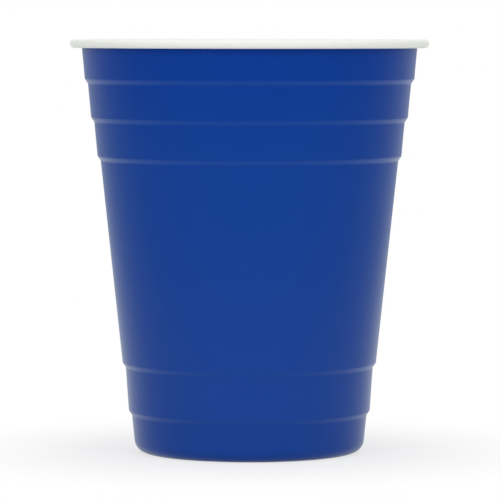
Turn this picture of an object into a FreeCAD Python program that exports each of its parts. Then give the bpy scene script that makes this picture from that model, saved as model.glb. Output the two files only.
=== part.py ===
import FreeCAD, Part
import math
import os
import re
from dataclasses import dataclass
from enum import IntEnum
import Sketcher
from FreeCAD import Vector

# A stackable party cup, thermoformed in one piece from a two-coloured plastic sheet.
# The outer face of the sheet is drawn as one open line: from the middle of the base, over the
# standing ring, up the stepped wall and round the rolled rim. That line is given the thickness
# of the sheet, towards the inside of the cup, and the section is spun about the axis.
# Origin: the middle of the standing ring, in the plane that the cup stands on. +Z points to the rim.

# Driving sizes in millimetres and degrees: name, value, what it measures.
SIZES = [
    ("rim_diameter", 95.0, "across the outside of the rolled rim"),
    ("cup_height", 109.4, "from the standing plane to the top of the rim"),
    ("base_diameter", 60.35, "across the wall where its line reaches the standing plane"),
    ("sheet_thickness", 0.4, "wall of the formed sheet"),
    ("roll_height", 2.25, "height of the rolled rim"),
    ("roll_flat", 0.54, "straight run under the roll, between its outer turn and the lip"),
    ("lip_gap", 0.25, "clearance between the tucked lip and the wall"),
    ("lip_turn", 60.0, "angle by which the lip turns back up inside the roll"),
    ("collar_draft", 5.3, "lean of the bands above the lowest collar ledge"),
    ("first_ledge_depth", 11.7, "from the top of the rim down to the foot of the first ledge"),
    ("ledge_pitch", 10.2, "from one collar ledge to the next"),
    ("ledge_depth", 0.85, "how far each ledge steps in"),
    ("ledge_rise", 1.3, "height over which a ledge steps in"),
    ("grip_ledge_height", 22.55, "from the standing plane up to the foot of the ledge below the grip"),
    ("foot_ledge_height", 9.85, "from the standing plane up to the foot of the lowest ledge"),
    ("foot_band_draft", 3.9, "lean of the band between the two lower ledges"),
    ("heel_draft", 5.9, "lean of the lowest band"),
    ("bend_radius", 0.4, "radius on the tight side of the sheet at each ledge"),
    ("heel_radius", 3.4, "outer radius between the wall and the standing ring"),
    ("foot_width", 1.0, "flat width of the standing ring"),
    ("foot_bend_radius", 0.6, "tight-side radius between the standing ring and the recess"),
    ("panel_lift", 3.2, "height of the base panel above the standing plane"),
    ("recess_draft", 30.0, "lean of the recess wall inside the standing ring"),
    ("panel_step_diameter", 34.0, "across the foot of the stiffening step in the base panel"),
    ("panel_step_rise", 0.6, "height of the stiffening step"),
    ("panel_step_depth", 0.6, "how far the stiffening step steps in"),
]
COLLAR_LEDGES = 3

ALIASES = {name for name, _, _ in SIZES}


class EdgeEnd(IntEnum):
    """Which end of an edge a constraint holds. A point counts as a first end."""

    FIRST = 1
    SECOND = 2


class Axis(IntEnum):
    """The axes of the drawing, which a constraint can hold as it holds an edge."""

    RADIAL = -1
    CUP = -2


START, END = EdgeEnd
ORIGIN = (Axis.RADIAL, START)


@dataclass
class Corner:
    """A corner of the line before it is rounded; every size is a formula in the names above."""

    name: str
    radius: str
    height: str
    bend_radius: str


@dataclass
class Bend:
    """The arc that rounds a corner, in the direction in which the line is drawn."""

    begin: Vector
    finish: Vector
    centre: Vector
    radius: float
    turns_left: bool


def bound(formula):
    """The same formula, reading its names from the sheet of sizes."""
    return re.sub(
        "[a-z_]+",
        lambda word: "sizes." + word[0] if word[0] in ALIASES else word[0],
        formula,
    )


def lean(angle):
    """Formula for the sideways run of a line per unit of height, at that angle from the axis."""
    return f"tan(({angle}) * 1 deg)"


def bend_reach(radius, turn):
    """Formula for the distance from a corner to either end of its bend."""
    return f"({radius}) * tan(({turn}) / 2 * 1 deg)"


# The sheet bends about its tight side. Where it bends towards the inside of the cup, the outer
# face is the wide side, and its radius is the tight one and the thickness together.
WIDE_BEND = "bend_radius + sheet_thickness"
FOOT_BEND = "foot_bend_radius + sheet_thickness"
ROLL_BEND = "roll_height / 2 - sheet_thickness"

# The middle of the outer turn of the roll, and the wall at that height, beside the tucked lip.
ROLL_CENTRE = "rim_diameter / 2 - roll_height / 2"
MOUTH_RADIUS = "rim_diameter / 2 - roll_height - roll_flat - lip_gap"


def base_corners():
    """The stiffening step, the recess and the heel, from the middle outwards."""
    step_foot = "panel_step_diameter / 2"
    heel_reach = bend_reach("heel_radius", "90 - heel_draft")
    recess_reach = bend_reach(FOOT_BEND, "90 - recess_draft")
    recess_foot = f"base_diameter / 2 - {heel_reach} - foot_width - {recess_reach}"
    recess_top = f"{recess_foot} - panel_lift * {lean('recess_draft')}"
    step_top = f"{step_foot} - panel_step_depth"
    return [
        Corner("panel_step_top", step_top, "panel_lift + panel_step_rise", "bend_radius"),
        Corner("panel_step_foot", step_foot, "panel_lift", WIDE_BEND),
        Corner("recess_top", recess_top, "panel_lift", "bend_radius"),
        Corner("recess_foot", recess_foot, "0", FOOT_BEND),
        Corner("heel", "base_diameter / 2", "0", "heel_radius"),
    ]


def ledge_corners(name, radius, height):
    """The two corners of a ledge whose foot is at that radius and height."""
    return [
        Corner(name + "_foot", radius, height, "bend_radius"),
        Corner(name + "_top", f"{radius} + ledge_depth", f"{height} + ledge_rise", WIDE_BEND),
    ]


def wall_corners():
    """The two lower ledges, then the collar ledges, from the bottom up.

    The lower ones are placed from the base and the collar ones from the rim, so that the long
    wall between them takes up whatever is left."""
    foot_ledge = f"base_diameter / 2 + foot_ledge_height * {lean('heel_draft')}"
    foot_band = "(grip_ledge_height - foot_ledge_height - ledge_rise)"
    grip_ledge = f"{foot_ledge} + ledge_depth + {foot_band} * {lean('foot_band_draft')}"
    corners = ledge_corners("foot_ledge", foot_ledge, "foot_ledge_height")
    corners += ledge_corners("grip_ledge", grip_ledge, "grip_ledge_height")

    first_band = "(first_ledge_depth - roll_height / 2 - ledge_rise)"
    for number in range(COLLAR_LEDGES, 0, -1):
        pitches = f"{number - 1} * ledge_pitch"
        bands = f"({first_band} + {number - 1} * (ledge_pitch - ledge_rise))"
        radius = f"{MOUTH_RADIUS} - {number} * ledge_depth - {bands} * {lean('collar_draft')}"
        height = f"cup_height - first_ledge_depth - {pitches}"
        corners += ledge_corners(f"collar_ledge{number}", radius, height)
    return corners


def rim_corner():
    radius = f"{MOUTH_RADIUS} + ({ROLL_BEND}) * {lean('collar_draft')}"
    return Corner("rim", radius, "cup_height - sheet_thickness", ROLL_BEND)


def round_corner(before, corner, after, radius):
    incoming = (corner - before).normalize()
    outgoing = (after - corner).normalize()
    reach = radius * math.tan(incoming.getAngle(outgoing) / 2)
    begin = corner - incoming * reach
    turns_left = incoming.cross(outgoing).z > 0
    side = 1 if turns_left else -1
    centre = begin + Vector(-incoming.y, incoming.x, 0) * radius * side
    return Bend(begin, corner + outgoing * reach, centre, radius, turns_left)


def angle_at(centre, place):
    return math.atan2(place.y - centre.y, place.x - centre.x)


class SheetLine:
    """The line of runs and tangent bends in a sketch, where every size reads the sheet."""

    def __init__(self, sketch, sheet):
        self.sketch = sketch
        self.sheet = sheet
        self.last = None

    def value(self, formula):
        return float(self.sheet.evalExpression(bound(formula)))

    def place(self, radius, height):
        return Vector(self.value(radius), self.value(height), 0)

    def hold(self, kind, *where):
        return self.sketch.addConstraint(Sketcher.Constraint(kind, *where))

    def size(self, name, formula, kind, *where):
        """Adds a named dimension that follows the formula."""
        index = self.hold(kind, *where, self.value(formula))
        self.sketch.renameConstraint(index, name)
        self.sketch.setExpression(f"Constraints.{name}", bound(formula))

    def follow_on(self, edge, near_end, far_end):
        """Joins an edge smoothly to the end of the line, and makes its far end the new one."""
        if self.last:
            self.hold("Tangent", *self.last, edge, near_end)
        self.last = (edge, far_end)

    def run(self, begin, finish):
        edge = self.sketch.addGeometry(Part.LineSegment(begin, finish))
        self.follow_on(edge, START, END)
        return edge

    def bend(self, name, bend, radius):
        """Adds an arc. Arcs are kept anticlockwise, so one that turns right is joined by its end."""
        first, last = (bend.begin, bend.finish) if bend.turns_left else (bend.finish, bend.begin)
        circle = Part.Circle(bend.centre, Vector(0, 0, 1), bend.radius)
        angles = (angle_at(bend.centre, first), angle_at(bend.centre, last))
        edge = self.sketch.addGeometry(Part.ArcOfCircle(circle, *angles))
        ends = (START, END) if bend.turns_left else (END, START)
        self.follow_on(edge, *ends)
        self.size(name + "_bend", radius, "Radius", edge)
        return edge

    def mark(self, corner, run_before, run_after):
        """Holds a corner at its radius and height by a construction point that both runs meet."""
        place = self.place(corner.radius, corner.height)
        mark = self.sketch.addGeometry(Part.Point(place), True)
        self.size(corner.name + "_radius", corner.radius, "DistanceX", *ORIGIN, mark, START)
        if corner.height == "0":
            self.hold("PointOnObject", mark, START, Axis.RADIAL)
        else:
            self.size(corner.name + "_height", corner.height, "DistanceY", *ORIGIN, mark, START)
        self.hold("PointOnObject", mark, START, run_before)
        self.hold("PointOnObject", mark, START, run_after)


def draw_wall(line, roll_start):
    """Draws the line from the axis to the start of the roll."""
    corners = base_corners() + wall_corners() + [rim_corner()]
    places = [line.place(corner.radius, corner.height) for corner in corners]
    middle = Vector(0, places[0].y, 0)
    bends = [
        round_corner(before, place, after, line.value(corner.bend_radius))
        for corner, before, place, after in zip(
            corners, [middle] + places[:-1], places, places[1:] + [roll_start]
        )
    ]

    runs = [line.run(middle, bends[0].begin)]
    finishes = [bend.begin for bend in bends[1:]] + [roll_start]
    for corner, bend, finish in zip(corners, bends, finishes):
        line.bend(corner.name, bend, corner.bend_radius)
        runs.append(line.run(bend.finish, finish))

    panel_run, top_run = runs[0], runs[-1]
    line.hold("PointOnObject", panel_run, START, Axis.CUP)
    line.hold("Horizontal", panel_run)
    line.hold("Horizontal", top_run)
    line.size("roll_centre", ROLL_CENTRE, "DistanceX", *ORIGIN, top_run, END)
    for corner, run_before, run_after in zip(corners, runs[:-1], runs[1:]):
        line.mark(corner, run_before, run_after)


def draw_roll(line, roll_start):
    """Carries the line round the outside of the rim, back under it and up inside as the lip."""
    radius = line.value(ROLL_BEND)
    roll_centre = roll_start - Vector(0, radius, 0)
    roll_foot = roll_centre - Vector(0, radius, 0)
    line.bend("roll", Bend(roll_start, roll_foot, roll_centre, radius, False), ROLL_BEND)

    lip_start = roll_foot - Vector(line.value("roll_flat"), 0, 0)
    under_run = line.run(roll_foot, lip_start)
    line.hold("Horizontal", under_run)
    line.size("under_run_length", "roll_flat", "DistanceX", under_run, END, under_run, START)

    lip_centre = lip_start + Vector(0, radius, 0)
    lip_angle = math.radians(-90 - line.value("lip_turn"))
    lip_end = lip_centre + Vector(math.cos(lip_angle), math.sin(lip_angle), 0) * radius
    lip = line.bend("lip", Bend(lip_start, lip_end, lip_centre, radius, False), ROLL_BEND)
    line.size("lip_span", "lip_turn * 1 deg", "Angle", lip)


def write_sizes(doc):
    sheet = doc.addObject("Spreadsheet::Sheet", "sizes")
    for row, (name, value, note) in enumerate(SIZES, start=1):
        sheet.set(f"A{row}", name)
        sheet.set(f"B{row}", str(value))
        sheet.setAlias(f"B{row}", name)
        sheet.set(f"C{row}", note)
    doc.recompute()
    return sheet


def origin_feature(body, role):
    return next(item for item in body.Origin.OriginFeatures if item.Role == role)


def build_cup(doc, sheet):
    body = doc.addObject("PartDesign::Body", "cup_body")
    body.Label = "cup"

    sketch = body.newObject("Sketcher::SketchObject", "sheet_line")
    sketch.AttachmentSupport = [(origin_feature(body, "XZ_Plane"), "")]
    sketch.MapMode = "FlatFace"
    line = SheetLine(sketch, sheet)
    roll_start = line.place(ROLL_CENTRE, "cup_height - sheet_thickness")
    draw_wall(line, roll_start)
    draw_roll(line, roll_start)
    doc.recompute()

    section = body.newObject("PartDesign::SubShapeBinder", "sheet_section")
    section.Support = [(sketch, ("",))]
    section.OffsetFill = True
    section.OffsetOpenResult = True
    section.OffsetJoinType = "Arcs"
    section.setExpression("Offset", "sizes.sheet_thickness")
    doc.recompute()

    spin = body.newObject("PartDesign::Revolution", "spun_sheet")
    spin.Profile = (section, [""])
    spin.ReferenceAxis = (origin_feature(body, "Z_Axis"), [""])
    spin.Angle = 360
    body.Tip = spin
    doc.recompute()
    return body


def check(doc, parts):
    """Stops before anything is written if an object failed or a part isn't one sound solid."""
    failed = [item.Label for item in doc.Objects if {"Invalid", "Error"} & set(item.State)]
    if failed:
        raise RuntimeError(f"these objects failed: {failed}")
    loose = [item.Label for item in doc.Objects if getattr(item, "FullyConstrained", True) is False]
    if loose:
        raise RuntimeError(f"these sketches are not fully constrained: {loose}")
    for part in parts:
        shape = part.Shape
        if shape.isNull() or not shape.isValid() or len(shape.Solids) != 1:
            raise RuntimeError(f"{part.Label} is not one valid solid")


def main():
    doc = FreeCAD.newDocument("party_cup")
    sheet = write_sizes(doc)
    parts = [build_cup(doc, sheet)]
    check(doc, parts)
    os.makedirs("parts", exist_ok=True)
    for part in parts:
        part.Shape.exportStep(f"parts/{part.Label}.step")
        print(f"{part.Label}: {part.Shape.Volume:.1f} mm3, {len(part.Shape.Faces)} faces")


main()
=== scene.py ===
import math

import bpy
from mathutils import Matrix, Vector

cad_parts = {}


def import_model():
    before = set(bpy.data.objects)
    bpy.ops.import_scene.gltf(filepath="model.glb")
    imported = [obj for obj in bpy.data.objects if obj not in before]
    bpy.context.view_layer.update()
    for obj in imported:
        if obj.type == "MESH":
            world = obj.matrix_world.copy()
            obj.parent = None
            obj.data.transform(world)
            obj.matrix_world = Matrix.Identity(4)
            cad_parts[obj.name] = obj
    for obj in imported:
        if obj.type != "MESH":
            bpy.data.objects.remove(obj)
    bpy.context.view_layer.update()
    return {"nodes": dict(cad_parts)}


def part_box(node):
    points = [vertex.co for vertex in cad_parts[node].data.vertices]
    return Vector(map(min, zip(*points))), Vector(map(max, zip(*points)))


# A plastic party cup on a pale studio floor, in metres. The cup stands on the origin, and +Z points
# up to its rim.

MM = 0.001

# The photograph's view of the cup, from a little above its rim. A camera looks straight down until
# it is turned level.
CAMERA_DISTANCE = 1035 * MM
CAMERA_HEIGHT = 112.9 * MM
CAMERA_ASIDE = 0.1 * MM
CAMERA_PITCH = math.radians(3.28)
CAMERA_ROLL = math.radians(-0.05)
LEVEL = math.radians(90)
LENS_MM = 281.3
SENSOR_MM = 36.0

# The rolled rim: its height, how far in from the edge of the cup it is taken to reach, which is into
# the gap between its lip and the wall, and a margin under it.
ROLL_HEIGHT = 2.25 * MM
ROLL_WIDTH = 2.9 * MM
ROLL_MARGIN = 0.1 * MM

# The ledges: how far down the collar's first one is, the pitch of its three, how high the two
# lower ones are, each at its foot, how far they rise, and how far up and down their lines reach.
FIRST_LEDGE_DEPTH = 11.7 * MM
LEDGE_PITCH = 10.2 * MM
COLLAR_LEDGES = 3
LOWER_LEDGE_HEIGHTS = (22.55 * MM, 9.85 * MM)
LEDGE_RISE = 1.3 * MM
LINE_REACH = 1.0 * MM

# The blue side. The sheet is thickest under the rim and is stretched thinner down the wall, so the
# blue gets lighter there, down to a share of the cup's height; the darker blue near the rim is
# partly painted shade under the rim. The stretched ledges are lighter still, which is partly a
# painted highlight along each ledge.
THICK_SHADED_RIM_BLUE = (0.0, 0.040, 0.300)
WALL_BLUE = (0.0038, 0.049, 0.305)
LINE_HIGHLIGHT_BLUE = (0.0015, 0.0545, 0.330)
THINNING_AND_SHADE_BELOW = 0.62

# The white side, with the two shades that cloud into each other. The scale is in waves to the metre.
WHITE = (0.90, 0.905, 0.865)
SHADED_WHITE = (0.88, 0.885, 0.845)
CLOUD_SCALE = 38.0

# The satin surface and its fine grain, whose scale is in waves to the metre too.
SATIN_ROUGHNESS = 0.32
CLOUDY_ROUGHNESS = 0.06
SATIN_IOR = 1.17
GRAIN_SCALE = 1500.0
GRAIN_DEPTH = 0.02 * MM
GRAIN_STRENGTH = 0.08
NOISE_DETAIL = 2.0

# The gloss over it. The wall gets shinier from one share of the cup's height down to another, and
# each ledge, from the rim down, has a shinier line along it.
SHINY_BELOW = 0.65
SHINIEST_BELOW = 0.15
FOOT_GLOSS = 0.34
LINE_GLOSSES = (0.34, 0.34, 0.50, 0.17, 0.15)
GLOSS_ROUGHNESS = 0.2
GLOSS_IOR = 1.3

# The faint bloom that shows where the wall turns away.
BLOOM = 0.05
BLOOM_TINT = (0.2, 1.0, 0.3)

# The floor. It lies a hair under the cup, so that no two faces share a plane. Its shadow is softened
# by a share of the white background, and fades into it between two distances from the cup's axis.
FLOOR_WHITE = (0.90, 0.90, 0.90)
FLOOR_SIZE = 12.0
FLOOR_DROP = 0.03 * MM
SHADOW_REACH = 30 * MM
SHADOW_FADE = 100 * MM
SHADOW_SOFTENING = 0.7
BACKGROUND_WHITE = (1.0, 1.0, 1.0)

# The light: even light from all round, a softbox overhead, and one each side of the camera.
ROOM_LIGHT = 0.46
TOP_LIGHT_HEIGHT = 1.1
TOP_LIGHT_SIZE = 0.9
TOP_LIGHT_POWER = 3.8
SIDE_LIGHT_ASIDE = 1.0
SIDE_LIGHT_FORWARD = 1.4
SIDE_LIGHT_HEIGHT = 0.8
SIDE_LIGHT_SIZE = 1.0
SIDE_LIGHT_POWER = 7.1

# The sockets of a Mix node that mixes colours, which come after those for numbers and vectors.
MIX_AMOUNT = 0
MIX_FIRST = 6
MIX_SECOND = 7
MIX_RESULT = 2

# What a place is multiplied by to leave out its height.
FLAT = (1.0, 1.0, 0.0)


def opaque(colour):
    """A colour as a socket takes it, with an alpha."""
    return (*colour, 1.0)


class Flow:
    """A value on its way between shader nodes. Arithmetic on it adds Math nodes."""

    def __init__(self, shader, socket):
        self.shader = shader
        self.socket = socket

    def math(self, operation, *terms):
        return self.shader.node("ShaderNodeMath", {"operation": operation}, enumerate(terms))

    def __add__(self, other):
        return self.math("ADD", self, other)

    def __sub__(self, other):
        return self.math("SUBTRACT", self, other)

    def __rsub__(self, other):
        return self.math("SUBTRACT", other, self)

    def __mul__(self, other):
        return self.math("MULTIPLY", self, other)

    def __abs__(self):
        return self.math("ABSOLUTE", self)

    def __gt__(self, other):
        return self.math("GREATER_THAN", self, other)

    def __or__(self, other):
        return self.math("MAXIMUM", self, other)

    __radd__ = __add__
    __rmul__ = __mul__


class Shader:
    """The nodes of one material or of the world."""

    def __init__(self, owner):
        owner.use_nodes = True
        self.tree = owner.node_tree
        self.tree.nodes.clear()

    def node(self, kind, settings=(), sockets=(), output=0):
        """Adds a node, sets it, then fills or links its sockets, and gives one of its outputs."""
        node = self.tree.nodes.new(kind)
        for name, value in dict(settings).items():
            setattr(node, name, value)
        for name, value in dict(sockets).items():
            if isinstance(value, Flow):
                self.tree.links.new(value.socket, node.inputs[name])
            else:
                node.inputs[name].default_value = value
        return Flow(self, node.outputs[output]) if node.outputs else None

    def blend(self, amount, first, second):
        """One colour turning into another."""
        colours = [c if isinstance(c, Flow) else opaque(c) for c in (first, second)]
        sockets = {MIX_AMOUNT: amount, MIX_FIRST: colours[0], MIX_SECOND: colours[1]}
        return self.node("ShaderNodeMix", {"data_type": "RGBA"}, sockets, MIX_RESULT)

    def fade(self, value, start, end):
        """0 at the start and 1 at the end, with a smooth turn at both."""
        sockets = {"Value": value, "From Min": start, "From Max": end}
        return self.node("ShaderNodeMapRange", {"interpolation_type": "SMOOTHSTEP"}, sockets)

    def noise(self, place, scale):
        """A soft random pattern between 0 and 1."""
        sockets = {"Vector": place, "Scale": scale, "Detail": NOISE_DETAIL}
        return self.node("ShaderNodeTexNoise", {}, sockets)

    def upward(self, vector):
        """How far a vector reaches up."""
        return self.node("ShaderNodeSeparateXYZ", {}, {"Vector": vector}, "Z")

    def radius(self, place):
        """How far a place is from the cup's axis."""
        flat = self.node("ShaderNodeVectorMath", {"operation": "MULTIPLY"}, {0: place, 1: FLAT})
        return self.node("ShaderNodeVectorMath", {"operation": "LENGTH"}, {0: flat}, "Value")

    def seen_ray(self):
        """1 for a ray from the camera, or one that a glossy or clear surface sends on."""
        camera, glossy, clear = (
            self.node("ShaderNodeLightPath", output=f"Is {kind} Ray")
            for kind in ("Camera", "Glossy", "Transmission")
        )
        return camera | glossy | clear


def ledge_lines(shader, height, top):
    """For each ledge from the rim down, 1 along its middle and 0 past its two bends."""
    collar_feet = [top - FIRST_LEDGE_DEPTH - count * LEDGE_PITCH for count in range(COLLAR_LEDGES)]
    middles = [foot + LEDGE_RISE / 2 for foot in (*collar_feet, *LOWER_LEDGE_HEIGHTS)]
    return [shader.fade(abs(height - middle), LINE_REACH, 0.0) for middle in middles]


def cup_plastic(top, edge):
    """The two-coloured sheet, blue on its outer side and white on its inner side."""
    material = bpy.data.materials.new("two_colour_sheet")
    shader = Shader(material)
    place = shader.node("ShaderNodeNewGeometry", output="Position")
    facing_up = shader.upward(shader.node("ShaderNodeNewGeometry", output="Normal"))
    height = shader.upward(place)

    # The wall flares all the way up, so its white side is the one that faces up, as the base's
    # does. In the roll the sheet has turned over, and its white side is all that shows.
    in_the_roll = (height > top - ROLL_HEIGHT - ROLL_MARGIN) * (
        shader.radius(place) > edge - ROLL_WIDTH
    )
    white_side = (facing_up > 0.0) | in_the_roll

    lines = ledge_lines(shader, height, top)
    near_foot = shader.fade(height, SHINY_BELOW * top, SHINIEST_BELOW * top)
    gloss = near_foot * FOOT_GLOSS + sum(line * shine for line, shine in zip(lines, LINE_GLOSSES))

    # Darker towards the rim: partly the thicker sheet, partly painted shade under the rim.
    thinning_and_shade = shader.fade(height, top, THINNING_AND_SHADE_BELOW * top)
    # The ledge lines mix in a lighter blue, which is partly a painted highlight along each ledge.
    blue = shader.blend(sum(lines), shader.blend(thinning_and_shade, THICK_SHADED_RIM_BLUE, WALL_BLUE), LINE_HIGHLIGHT_BLUE)
    cloud = shader.noise(place, CLOUD_SCALE)
    white = shader.blend(cloud, WHITE, SHADED_WHITE)
    grain = {
        "Strength": GRAIN_STRENGTH,
        "Distance": GRAIN_DEPTH,
        "Height": shader.noise(place, GRAIN_SCALE),
    }
    plastic = {
        "Base Color": shader.blend(white_side, blue, white),
        "Roughness": SATIN_ROUGHNESS + cloud * CLOUDY_ROUGHNESS,
        "IOR": SATIN_IOR,
        "Coat Weight": gloss,
        "Coat Roughness": GLOSS_ROUGHNESS,
        "Coat IOR": GLOSS_IOR,
        "Sheen Weight": BLOOM,
        "Sheen Tint": opaque(BLOOM_TINT),
        "Normal": shader.node("ShaderNodeBump", {}, grain),
    }
    surface = shader.node("ShaderNodeBsdfPrincipled", {}, plastic)
    shader.node("ShaderNodeOutputMaterial", {}, {"Surface": surface})
    return material


def floor_white():
    """A pale floor that carries the cup's shadow and turns into the white background further out."""
    material = bpy.data.materials.new("floor_white")
    shader = Shader(material)
    place = shader.node("ShaderNodeNewGeometry", output="Position")
    away = shader.fade(shader.radius(place), SHADOW_REACH, SHADOW_FADE)
    white = away * (1.0 - SHADOW_SOFTENING) + SHADOW_SOFTENING
    matt = shader.node("ShaderNodeBsdfDiffuse", {}, {"Color": opaque(FLOOR_WHITE)})
    background = shader.node("ShaderNodeEmission", {}, {"Color": opaque(BACKGROUND_WHITE)})
    layers = {0: white * shader.seen_ray(), 1: matt, 2: background}
    surface = shader.node("ShaderNodeMixShader", {}, layers)
    shader.node("ShaderNodeOutputMaterial", {}, {"Surface": surface})
    return material


def lay_floor():
    """The floor is one flat square, far wider than the view."""
    half = FLOOR_SIZE / 2
    low = -FLOOR_DROP
    mesh = bpy.data.meshes.new("floor")
    corners = [(-half, -half, low), (half, -half, low), (half, half, low), (-half, half, low)]
    mesh.from_pydata(corners, [], [(0, 1, 2, 3)])
    mesh.materials.append(floor_white())
    floor = bpy.data.objects.new("floor", mesh)
    bpy.context.scene.collection.objects.link(floor)


def light_world():
    """Even light from all round, in front of a white background."""
    world = bpy.data.worlds.new("studio")
    bpy.context.scene.world = world
    shader = Shader(world)
    brightness = shader.seen_ray() * (1.0 - ROOM_LIGHT) + ROOM_LIGHT
    white = {"Color": opaque(BACKGROUND_WHITE), "Strength": brightness}
    surface = shader.node("ShaderNodeBackground", {}, white)
    shader.node("ShaderNodeOutputWorld", {}, {"Surface": surface})


def hang_softbox(name, place, target, size, power):
    """A round softbox that faces the target."""
    light = bpy.data.lights.new(name, "AREA")
    light.shape = "DISK"
    light.size = size
    light.energy = power
    softbox = bpy.data.objects.new(name, light)
    softbox.location = place
    softbox.rotation_euler = (Vector(target) - Vector(place)).to_track_quat("-Z", "Y").to_euler()
    bpy.context.scene.collection.objects.link(softbox)


def hang_softboxes(target):
    above = (0, 0, TOP_LIGHT_HEIGHT)
    hang_softbox("top_softbox", above, target, TOP_LIGHT_SIZE, TOP_LIGHT_POWER)
    for side, aside in (("left", -SIDE_LIGHT_ASIDE), ("right", SIDE_LIGHT_ASIDE)):
        place = (aside, -SIDE_LIGHT_FORWARD, SIDE_LIGHT_HEIGHT)
        hang_softbox(f"{side}_softbox", place, target, SIDE_LIGHT_SIZE, SIDE_LIGHT_POWER)


def set_camera():
    data = bpy.data.cameras.new("camera")
    data.lens = LENS_MM
    data.sensor_width = SENSOR_MM
    camera = bpy.data.objects.new("camera", data)
    camera.location = (CAMERA_ASIDE, -CAMERA_DISTANCE, CAMERA_HEIGHT)
    camera.rotation_euler = (LEVEL - CAMERA_PITCH, CAMERA_ROLL, 0)
    bpy.context.scene.collection.objects.link(camera)
    bpy.context.scene.camera = camera


def main():
    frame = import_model()
    _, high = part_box("cup")
    cup = frame["nodes"]["cup"]
    cup.data.materials.clear()
    cup.data.materials.append(cup_plastic(high.z, high.x))

    lay_floor()
    light_world()
    hang_softboxes((0, 0, high.z / 2))
    set_camera()
    bpy.context.scene.view_settings.view_transform = "Standard"


main()
